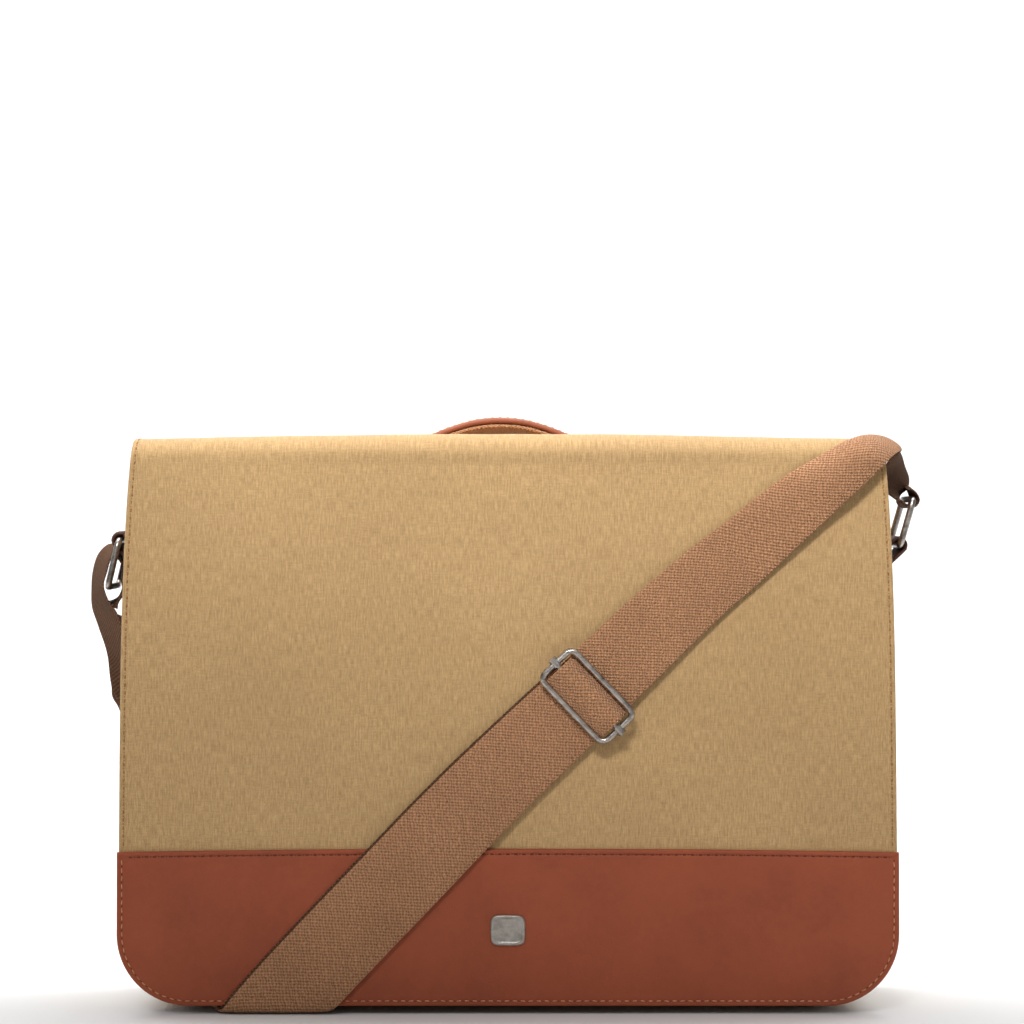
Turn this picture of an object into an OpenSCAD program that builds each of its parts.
// Messenger satchel with a full-length flap, a leather lower band, a short top
// handle and an adjustable webbing strap that crosses the flap and folds under it.
// Units are millimetres. +Z is up, -Y is the front, and the origin is the centre
// of the underside of the base.

/* [Bag body] */
// Half the width of the body near the base
body_half_bottom = 183; // [170:1:190]
// Half the width of the body at its mouth
body_half_top = 176; // [165:1:185]
// Depth of the body from front panel to back panel
body_depth = 78; // [70:1:90]
// Height of the front panel's top edge
mouth_front = 268; // [255:1:270]
// Height of the back panel's top edge
mouth_back = 264; // [250:1:267]
// Radius of the lower corners, seen from the front
corner_r = 36; // [30:1:45]
// Radius of the lower front and back edges, seen from the side
edge_r = 16; // [10:1:20]
// Thickness of the outer canvas
canvas_t = 1.6; // [1:0.1:2]
// Thickness of the lining cloth
lining_t = 0.8; // [0.5:0.1:1]

/* [Flap] */
// Half the width of the flap at its top edge
flap_half_top = 183; // [175:1:190]
// Half the width of the flap at the leather band
flap_half_bottom = 190; // [180:1:195]
// Height of the flap's lower edge above the ground
flap_low = 4; // [3.9:0.1:6]
// Height of the flap's crown above the ground
flap_high = 281.6; // [275:0.1:290]
// Distance from the body's middle plane to the flap's outer face
flap_front = 50; // [49:0.5:52]
// Rounding of the crown, where the flap turns down
crown_r = 12; // [8:1:14]
// Radius of the flap's lower corners
flap_corner_r = 35; // [25:1:45]
// Height of the top edge of the leather band
band_top = 80; // [60:1:100]
// Thickness of the leather band
band_t = 1.6; // [1:0.1:2]

/* [Handle] */
// Radius of the handle's arch, over its leather
handle_r = 75; // [70:1:90]
// Height of the arch above the flap
handle_rise = 19; // [15:1:22]
// Width of the handle
handle_w = 28; // [20:1:32]
// Half the length of the handle, end to end
handle_half = 72; // [65:1:80]

/* [Strap] */
// Width of the strap's webbing
strap_w = 40; // [38:1:40]
// Thickness of one layer of webbing
strap_t = 1.6; // [1.2:0.1:1.6]
// Diameter of the wire of the rings and the slider
wire_d = 3.2; // [2.8:0.1:3.2]
// Outer length of a ring or the slider, across the strap
ring_long = 47.5; // [46:0.5:50]
// Outer height of a ring, along the strap
ring_short = 27; // [25:0.1:30]
// Outer height of the slider, along the strap
slider_short = 24.6; // [23:0.1:26]

/* [Hidden] */
$fn = 48;

canvas_colour = "#c8a97b";
lining_colour = "#6f6656";
leather_colour = "#80442f";
webbing_colour = "#8f6b4c";
metal_colour = "#8f867e";

// Body
half_depth = body_depth / 2;
panel_low = edge_r + 2;
base_half = body_half_bottom - corner_r;
arc_steps = 8;
side_lean = atan((body_half_bottom - body_half_top) / (mouth_front - corner_r));
room = 400;
tall = 320;

// Flap: its top slopes down from the crown to the hinge at the back
flap_t = 2.2;
flap_canvas_t = 1.4;
hinge_y = 38;
hinge_z = 271;
cord_r = 2.5;
crown_y = -flap_front + crown_r;
crown_z = flap_high - crown_r;
top_slope = 7.2;
flap_inner_y = -flap_front + flap_t;
band_face_y = -flap_front - band_t;
top_back_half = 178;

// Strap layers, from the flap outwards, and the points of its straight run
under_y = band_face_y - 0.6;
strap_crown = [152, 258];
slider_at = [38.6, 155.5];
strap_foot = [-112, 3];
slider_slope = 43.8;
fold_low = 0.5;
fold_top = 8;
fold_left = -135;
fold_right = -84;

// Rings: hinge bars lie along Y in the tab loops
ring_y = -4;
tab_w = 38;
tab_low = 188;
wire_r = wire_d / 2;
ring_span = ring_short - wire_d;
slider_span = slider_short - wire_d;
left_bar = [-193, 231];
left_lean = 13;
right_bar = [194.5, 228.5];
right_lean = 16;
loop_clear = 0.35;
loop_r = wire_r + loop_clear;
ring_corner_r = 4;

// Slider
eye_r = 2.2;
slider_y = under_y - 2 * strap_t - 0.4 - eye_r;
bar_r = 1.4;

// Magnets and emblem
magnet_x = 70;
magnet_z = 44;
magnet_r = 8;
emblem_at = [0, 41];
emblem_size = [17, 15];

// Padded divider and zip pocket
divider_front = 16;
divider_t = 8;
divider_half = 158;
divider_top = 228;
stiffener_t = 2.5;
floor_z = canvas_t + lining_t + stiffener_t;
pocket_t = 1.4;
zip_z = 200;
zip_half = 80;
zip_y = divider_front - pocket_t;
zip_start = -66;

function arc(cx, cy, r, from, to) =
    [for (i = [0:arc_steps]) let (a = from + (to - from) * i / arc_steps) [cx + r * cos(a), cy + r * sin(a)]];
function side_at(z) = body_half_bottom - (z - corner_r) * tan(side_lean);
function turned(points) = [for (i = [len(points) - 1:-1:0]) points[i]];
function flipped(points) = [for (i = [len(points) - 1:-1:0]) [-points[i][0], points[i][1]]];

// ---- shared shapes ----

// A flat shape given as [y, z], stretched evenly to both sides along X
module along_x(width) {
    rotate([90, 0, 90])
        linear_extrude(height = width, center = true)
            children();
}

// A flat shape given as [x, z], filling y from y0 to y1
module along_y(y0, y1) {
    translate([0, y1, 0])
        rotate([90, 0, 0])
            linear_extrude(height = y1 - y0)
                children();
}

// The body's outline from the front, drawn in by inset
module body_outline(inset, top) {
    right = concat(arc(base_half, corner_r, corner_r - inset, -90, 0), [[side_at(top) - inset, top]]);
    polygon(concat(right, flipped(right)));
}

// The body's outline from the side, drawn in by inset
module body_profile(inset, front_top, back_top) {
    r = edge_r - inset;
    polygon(concat(
        arc(half_depth - edge_r, edge_r, r, -90, 0),
        [[half_depth - inset, back_top], [-half_depth + inset, front_top]],
        arc(-half_depth + edge_r, edge_r, r, 180, 270)));
}

module body_solid(inset, front_top, back_top) {
    intersection() {
        along_x(room) body_profile(inset, front_top, back_top);
        along_y(-room / 2, room / 2) body_outline(inset, tall);
    }
}

// One layer of the body, open at the top
module body_shell(inset, t) {
    difference() {
        body_solid(inset, mouth_front, mouth_back);
        body_solid(inset + t, tall, tall);
    }
}

module box(low, high) {
    translate(low) cube(high - low);
}

module front_layer(inset, t) {
    intersection() {
        body_shell(inset, t);
        box([-room, -half_depth + inset, panel_low], [room, -half_depth + inset + t, tall]);
    }
}

module back_layer(inset, t) {
    intersection() {
        body_shell(inset, t);
        box([-room, half_depth - inset - t, panel_low], [room, half_depth - inset, tall]);
    }
}

module side_layer(inset, t, side) {
    reach = half_depth - inset - t;
    low_x = side > 0 ? base_half : -room;
    high_x = side > 0 ? room : -base_half;
    intersection() {
        body_shell(inset, t);
        union() {
            box([low_x, -room, 0], [high_x, room, panel_low]);
            box([low_x, -reach, panel_low - 1], [high_x, reach, tall]);
        }
    }
}

module base_layer(inset, t) {
    intersection() {
        body_shell(inset, t);
        box([-base_half, -room, 0], [base_half, room, panel_low]);
    }
}

// ---- bag body ----

module front_panel() { color(canvas_colour) front_layer(0, canvas_t); }
module back_panel() { color(canvas_colour) back_layer(0, canvas_t); }
module gusset_left() { color(canvas_colour) side_layer(0, canvas_t, -1); }
module gusset_right() { color(canvas_colour) side_layer(0, canvas_t, 1); }
module base_panel() { color(canvas_colour) base_layer(0, canvas_t); }
module lining_front() { color(lining_colour) front_layer(canvas_t, lining_t); }
module lining_back() { color(lining_colour) back_layer(canvas_t, lining_t); }
module lining_left() { color(lining_colour) side_layer(canvas_t, lining_t, -1); }
module lining_right() { color(lining_colour) side_layer(canvas_t, lining_t, 1); }
module lining_base() { color(lining_colour) base_layer(canvas_t, lining_t); }

module base_stiffener() {
    color("#4b4036")
        box([-base_half + 6, -half_depth + edge_r, canvas_t + lining_t],
            [base_half - 6, half_depth - edge_r, floor_z]);
}

// Tape around the mouth, on the outside of the front and sides
module mouth_binding() {
    tape_h = 12;
    color(leather_colour)
        intersection() {
            difference() {
                body_solid(-1, mouth_front, mouth_back);
                body_solid(0, tall, tall);
            }
            box([-room, -room, mouth_back - tape_h], [room, half_depth, tall]);
        }
}

// Cords in the upright seams, just outside the corner of the two panels
module seam_cords(y) {
    cord = 1.8;
    off = 1.3;
    length = mouth_back - 14 - corner_r;
    color(leather_colour)
        for (side = [-1, 1])
            translate([side * (body_half_bottom + off), y, corner_r])
                rotate([0, -side * side_lean, 0])
                    cylinder(r = cord, h = length);
}

module piping_front() { seam_cords(-half_depth - 1.3); }
module piping_back() { seam_cords(half_depth + 1.3); }

module front_slip_pocket() {
    color(canvas_colour)
        box([-120, -half_depth - canvas_t, 60], [120, -half_depth, 200]);
}

module inner_slip_pocket() {
    wall = canvas_t + lining_t;
    color(lining_colour)
        box([-100, -half_depth + wall, 60], [100, -half_depth + wall + 1, 190]);
}

module laptop_divider() {
    round_r = 20;
    right = concat([[divider_half - 8, floor_z + 0.3]],
        [[divider_half, 42]],
        arc(divider_half - round_r, divider_top - round_r, round_r, 0, 90));
    color(lining_colour)
        along_y(divider_front, divider_front + divider_t)
            polygon(concat(right, flipped(right)));
}

module zip_pocket_bag() {
    color(lining_colour)
        box([-95, zip_y, 70], [95, divider_front, 216]);
}

module zip_tape() {
    color("#5d4a38")
        difference() {
            box([-zip_half - 6, zip_y - 1, zip_z - 14], [zip_half + 6, zip_y, zip_z + 14]);
            box([-zip_half, zip_y - 2, zip_z - 2], [zip_half, zip_y + 1, zip_z + 2]);
        }
}

// Teeth in pairs along the zip's slot
module zip_teeth() {
    pitch = 8;
    color(metal_colour)
        for (x = [-zip_half + 4:pitch:zip_half - 4])
            box([x - 2.6, zip_y - 1, zip_z - 1.8], [x + 2.6, zip_y - 0.2, zip_z + 1.8]);
}

// A disc lying in a plane that faces the front
module disc_y(x, z, r, y0, y1) {
    translate([x, y1, z])
        rotate([90, 0, 0])
            cylinder(r = r, h = y1 - y0);
}

module magnet_pair(r, y0, y1) {
    for (side = [-1, 1])
        disc_y(side * magnet_x, magnet_z, r, y0, y1);
}

module magnet_sockets() {
    color(metal_colour) magnet_pair(magnet_r, -half_depth - 2, -half_depth);
}

module magnet_backing() {
    wall = canvas_t + lining_t;
    color(metal_colour) magnet_pair(magnet_r + 1, -half_depth + wall, -half_depth + wall + 0.8);
}

// A loop around a bar, with its two-ply leg running to the side of the bag
module tab_loop(bar, side) {
    thick = 1.5;
    outer = loop_r + thick;
    foot_x = side * side_at(214);
    low_x = side * side_at(tab_low);
    across = (outer - 0.6) * [side * 0.66, -0.75];
    leg = [bar + across, bar - across, [foot_x + side * 1.2, 221], [low_x + side * 1.2, tab_low],
        [low_x + side * 4.2, tab_low], [foot_x + side * 4.4, 212]];
    color("#5d3a2a")
        along_y(ring_y - tab_w / 2, ring_y + tab_w / 2)
            difference() {
                union() {
                    translate(bar) circle(r = outer);
                    polygon(side > 0 ? leg : turned(leg));
                }
                translate(bar) circle(r = loop_r);
            }
}

module tab_left() { tab_loop(left_bar, -1); }
module tab_right() { tab_loop(right_bar, 1); }

// Flat leather patches between each tab's foot and the side of the bag
module tab_patches() {
    patch_t = 1;
    patch_low = tab_low - 8;
    color(leather_colour)
        for (side = [-1, 1])
            translate([side * side_at(patch_low), ring_y, patch_low])
                rotate([0, -side * side_lean, 0])
                    translate([side > 0 ? 0 : -patch_t, -tab_w / 2 - 4, 0])
                        cube([patch_t, tab_w + 8, 38]);
}

module tab_rivets() {
    color(metal_colour)
        for (side = [-1, 1], dy = [-12, 12])
            translate([side * (side_at(tab_low + 11) + 4.4), ring_y + dy, tab_low + 11])
                rotate([0, side * 90, 0])
                    cylinder(r = 3, h = 1.4);
}

// Tape over the seam where the flap joins the back panel
module flap_seam_tape() {
    color(leather_colour)
        box([-body_half_top, half_depth, mouth_back - 20], [body_half_top, half_depth + 1, mouth_back]);
}

// Doubled strap on the left, from the ring's strap end to the flap's edge
module strap_left_drop() {
    color(webbing_colour)
        translate([left_bar[0] - 2, 0, 0])
            along_x(2 * strap_t)
                polygon([[ring_y - 20, 190], [ring_y + 20, 190], [-8, 140], [-46, 140]]);
}

// ---- flap ----

// One face of the flap from the side, as [y, z], a distance in below its outer face
function flap_path(inset) = concat(
    [[-flap_front + inset, flap_low]],
    arc(crown_y, crown_z, crown_r - inset, 180, 90 - top_slope),
    [[hinge_y + sin(top_slope) * (flap_t / 2 - inset), hinge_z + cos(top_slope) * (flap_t / 2 - inset)]]);

// The flap's outline from the front
module flap_outline(low, high) {
    waist = 190;
    right = concat(
        arc(flap_half_bottom - flap_corner_r, flap_low + flap_corner_r, flap_corner_r, -90, 0),
        [[flap_half_bottom, band_top], [flap_half_bottom - 1.7, waist], [flap_half_top, flap_high - 8],
         [flap_half_top, tall]]);
    intersection() {
        polygon(concat(right, flipped(right)));
        translate([-room, low]) square([2 * room, high - low]);
    }
}

module flap_layer(inset, t) {
    difference() {
        intersection() {
            along_x(room) polygon(concat(flap_path(inset), turned(flap_path(inset + t))));
            along_y(-room / 2, room / 2) flap_outline(0, tall);
            linear_extrude(height = tall)
                polygon([[-room, -room], [room, -room], [room, crown_y], [flap_half_top, crown_y],
                    [top_back_half, hinge_y], [-top_back_half, hinge_y],
                    [-flap_half_top, crown_y], [-room, crown_y]]);
        }
        translate([0, hinge_y, hinge_z])
            rotate([0, 90, 0])
                cylinder(r = cord_r, h = room, center = true);
    }
}

module flap_canvas() { color(canvas_colour) flap_layer(0, flap_canvas_t); }
module flap_lining() { color(lining_colour) flap_layer(flap_canvas_t, flap_t - flap_canvas_t); }

module flap_leather_band() {
    color(leather_colour)
        along_y(band_face_y, -flap_front)
            flap_outline(0, band_top);
}

module flap_seam_cord() {
    color(canvas_colour)
        translate([0, hinge_y, hinge_z])
            rotate([0, 90, 0])
                cylinder(r = cord_r, h = 2 * top_back_half, center = true);
}

module magnet_studs() {
    color(metal_colour) magnet_pair(magnet_r - 1, flap_inner_y + 1, flap_inner_y + 3.4);
}

module magnet_washers() {
    color(metal_colour) magnet_pair(magnet_r, flap_inner_y, flap_inner_y + 1);
}

module emblem_plate() {
    color(metal_colour)
        translate([emblem_at[0] - emblem_size[0] / 2, band_face_y - 1.6, emblem_at[1] - emblem_size[1] / 2])
            cube([emblem_size[0], 1.6, emblem_size[1]]);
}

module emblem_washer() {
    color(metal_colour)
        disc_y(emblem_at[0], emblem_at[1], 6, flap_inner_y, flap_inner_y + 0.8);
}

// ---- handle, sewn to the top of the flap ----

module on_flap_top() {
    translate([0, hinge_y, hinge_z]) rotate([-top_slope, 0, 0]) children();
}

handle_x = -4;
handle_y = -20;
handle_layer = 3;
top_face = flap_t / 2;

// One face of the handle as [x, z], a distance in below its upper face
function handle_path(inset) =
    let (r = handle_r - inset,
        centre = top_face + handle_rise - handle_r,
        level = top_face + 2 * handle_layer - inset,
        a = acos((level - centre) / r))
    concat([[-handle_half, level]], arc(0, centre, r, 90 + a, 90 - a), [[handle_half, level]]);

module handle_strip(inset) {
    on_flap_top()
        translate([handle_x, handle_y, 0])
            along_y(-handle_w / 2, handle_w / 2)
                polygon(concat(handle_path(inset), turned(handle_path(inset + handle_layer))));
}

module handle_studs(r, z0, z1) {
    on_flap_top()
        for (side = [-1, 1])
            translate([handle_x + side * (handle_half - 12), handle_y, z0])
                cylinder(r = r, h = z1 - z0);
}

module handle_leather() { color("#a05a40") handle_strip(0); }
module handle_webbing() { color(webbing_colour) handle_strip(handle_layer); }
module handle_rivets() {
    color(metal_colour)
        handle_studs(4, top_face + 2 * handle_layer, top_face + 2 * handle_layer + 1.6);
}
module handle_washers() { color(metal_colour) handle_studs(5, -top_face - 0.9, -top_face - 0.1); }

// ---- strap on the flap ----

// A straight strip of webbing from a to b, given as [x, z]
module strip(a, b, y0, y1) {
    slope = atan2(b[1] - a[1], b[0] - a[0]);
    along_y(y0, y1)
        translate(a)
            rotate(slope)
                translate([0, -strap_w / 2])
                    square([norm(b - a), strap_w]);
}

module above(z) {
    intersection() {
        children();
        box([-room, -room, z], [room, room, tall]);
    }
}

module strap_upper() {
    color(webbing_colour)
        strip(slider_at, strap_crown, -flap_front - 0.3 - strap_t, -flap_front - 0.3);
}

module strap_lower() {
    color(webbing_colour)
        above(fold_top)
            strip(strap_foot, slider_at, under_y - 2 * strap_t, under_y - strap_t);
}

module strap_return() {
    color("#7b5b41")
        above(fold_top)
            strip(strap_foot, slider_at, under_y - strap_t, under_y);
}

// The turn under the flap's lower edge, both layers together
module strap_fold() {
    back_y = flap_inner_y + 0.4;
    layers = 2 * strap_t;
    color(webbing_colour)
        difference() {
            box([fold_left, under_y - layers, fold_low], [fold_right, back_y + layers, fold_top]);
            box([-room, under_y, fold_low + layers], [room, back_y, tall]);
        }
}

// Both layers between the flap and the front panel, going up to the left edge
module strap_hidden_run() {
    back_y = flap_inner_y + 0.4;
    color(webbing_colour)
        intersection() {
            strip([-112, 6], [-176, 124], back_y, back_y + 2 * strap_t);
            box([-flap_half_bottom + 2, -room, fold_top], [room, room, tall]);
        }
}

// The strap's turn around the flap's upper right corner
module strap_right_corner() {
    far_x = 192;
    color(webbing_colour)
        union() {
            along_y(-flap_front - 0.3 - strap_t, -flap_front - 0.3)
                polygon([[167, 245], [far_x, 250], [far_x, 272], [140, 272]]);
            box([far_x - strap_t / 2, -flap_front - 0.3 - strap_t, 250],
                [far_x + strap_t / 2, -30, 272]);
        }
}

// ---- rings ----

// A rounded rectangle of wire in the plane of Y and Z; its first bar is on the origin
module wire_ring(span) {
    half = ring_long / 2 - wire_r;
    c = ring_corner_r;
    for (z = [0, span])
        translate([0, 0, z])
            rotate([90, 0, 0])
                cylinder(r = wire_r, h = 2 * (half - c), center = true);
    for (side = [-1, 1])
        translate([0, side * half, c])
            cylinder(r = wire_r, h = span - 2 * c);
    for (side = [0, 1], end = [0, 1])
        translate([0, (side * 2 - 1) * (half - c), c + end * (span - 2 * c)])
            rotate([90, 0, 90])
                rotate([0, 0, side == 1 ? (end == 1 ? 0 : 270) : (end == 1 ? 90 : 180)])
                    rotate_extrude(angle = 90)
                        translate([c, 0]) circle(r = wire_r);
}

module left_ring_place() {
    translate([left_bar[0], ring_y, left_bar[1]]) rotate([0, 180 + left_lean, 0]) children();
}

module right_ring_place() {
    translate([right_bar[0], ring_y, right_bar[1]]) rotate([0, right_lean, 0]) children();
}

// A strap end looped over a ring's far bar, with a short leg turned from the ring's line
module strap_end(loop, leg, turn) {
    outer = loop + strap_t;
    end_w = 38;
    translate([0, end_w / 2, ring_span])
        rotate([90, 0, 0])
            linear_extrude(height = end_w)
                difference() {
                    union() {
                        circle(r = outer);
                        rotate(turn) translate([-strap_t, 0]) square([2 * strap_t, leg]);
                    }
                    circle(r = loop);
                }
}

module ring_left() { color(metal_colour) left_ring_place() wire_ring(ring_span); }
module ring_right() { color(metal_colour) right_ring_place() wire_ring(ring_span); }
module strap_left_end() { color(webbing_colour) left_ring_place() strap_end(5.4, 16, -22); }
module strap_right_end() { color(webbing_colour) right_ring_place() strap_end(loop_r, 14, 32); }

// ---- slider ----

module slider_place() {
    translate([slider_at[0], slider_y, slider_at[1]]) rotate([0, -slider_slope, 0]) children();
}

// The wire frame lies flat on the strap, with an eye in each short side for the bar
module slider_frame() {
    eye_x = ring_long / 2 - wire_r;
    color(metal_colour)
        slider_place()
            difference() {
                union() {
                    translate([-slider_span / 2, 0, 0])
                        rotate([90, 0, 0])
                            rotate([0, 90, 0])
                                wire_ring(slider_span);
                    for (side = [-1, 1])
                        translate([0, 0, side * eye_x])
                            cylinder(r = eye_r, h = wire_d, center = true);
                }
                cylinder(r = bar_r + 0.05, h = room, center = true);
            }
}

module slider_bar() {
    knob_r = 2.2;
    knob_h = 1.2;
    reach = ring_long / 2 + 0.1;
    color(metal_colour)
        slider_place()
            union() {
                cylinder(r = bar_r, h = 2 * reach + 0.2, center = true);
                for (side = [-1, 1])
                    translate([0, 0, side * (reach + knob_h / 2)])
                        cylinder(r = knob_r, h = knob_h, center = true);
            }
}

// Webbing that rises over the centre bar inside the frame
module slider_webbing_loop() {
    low = wire_r - 0.1;
    loop_w = 38;
    color(webbing_colour)
        slider_place()
            linear_extrude(height = loop_w, center = true)
                polygon([[-8.8, low], [-3, -3.2], [3, -3.2], [8.8, low],
                    [6.4, low], [2, -1.7], [-2, -1.7], [-6.4, low]]);
}

// ---- zip slider ----

// The slider's body with a bail, an arch that the pull hangs in
module zip_slider() {
    half = 4;
    front = zip_y - 5;
    bail_w = 1.6;
    color(metal_colour)
        union() {
            box([zip_start - half, front, zip_z - half], [zip_start + half, zip_y - 1.4, zip_z + half]);
            difference() {
                box([zip_start - bail_w / 2, front - 4.1, zip_z - 3.5],
                    [zip_start + bail_w / 2, front, zip_z + 2.5]);
                box([zip_start - bail_w, front - 3.1, zip_z - 2.5],
                    [zip_start + bail_w, front + 1, zip_z + 1.5]);
            }
        }
}

// A plate with a slot; its round upper rim turns inside the bail
module zip_pull() {
    t = 1.4;
    half = 3;
    middle = zip_y - 6.65;
    rim_z = zip_z - 0.5;
    color(metal_colour)
        union() {
            translate([zip_start, middle, rim_z])
                rotate([0, 90, 0])
                    cylinder(r = 0.9, h = 2 * half, center = true);
            difference() {
                box([zip_start - half, middle - t / 2, rim_z - 19], [zip_start + half, middle + t / 2, rim_z]);
                box([zip_start - 1.5, middle - t, rim_z - 6], [zip_start + 1.5, middle + t, rim_z + 1]);
            }
        }
}

front_panel();
back_panel();
gusset_left();
gusset_right();
base_panel();
base_stiffener();
lining_front();
lining_back();
lining_left();
lining_right();
lining_base();
mouth_binding();
piping_front();
piping_back();
front_slip_pocket();
inner_slip_pocket();
laptop_divider();
zip_pocket_bag();
zip_tape();
zip_teeth();
magnet_sockets();
magnet_backing();
tab_left();
tab_right();
tab_patches();
tab_rivets();
flap_seam_tape();
strap_left_drop();
flap_canvas();
flap_lining();
flap_leather_band();
flap_seam_cord();
magnet_studs();
magnet_washers();
emblem_plate();
emblem_washer();
handle_leather();
handle_webbing();
handle_rivets();
handle_washers();
strap_upper();
strap_lower();
strap_return();
strap_fold();
strap_hidden_run();
strap_right_corner();
ring_left();
strap_left_end();
ring_right();
strap_right_end();
slider_frame();
slider_bar();
slider_webbing_loop();
zip_slider();
zip_pull();
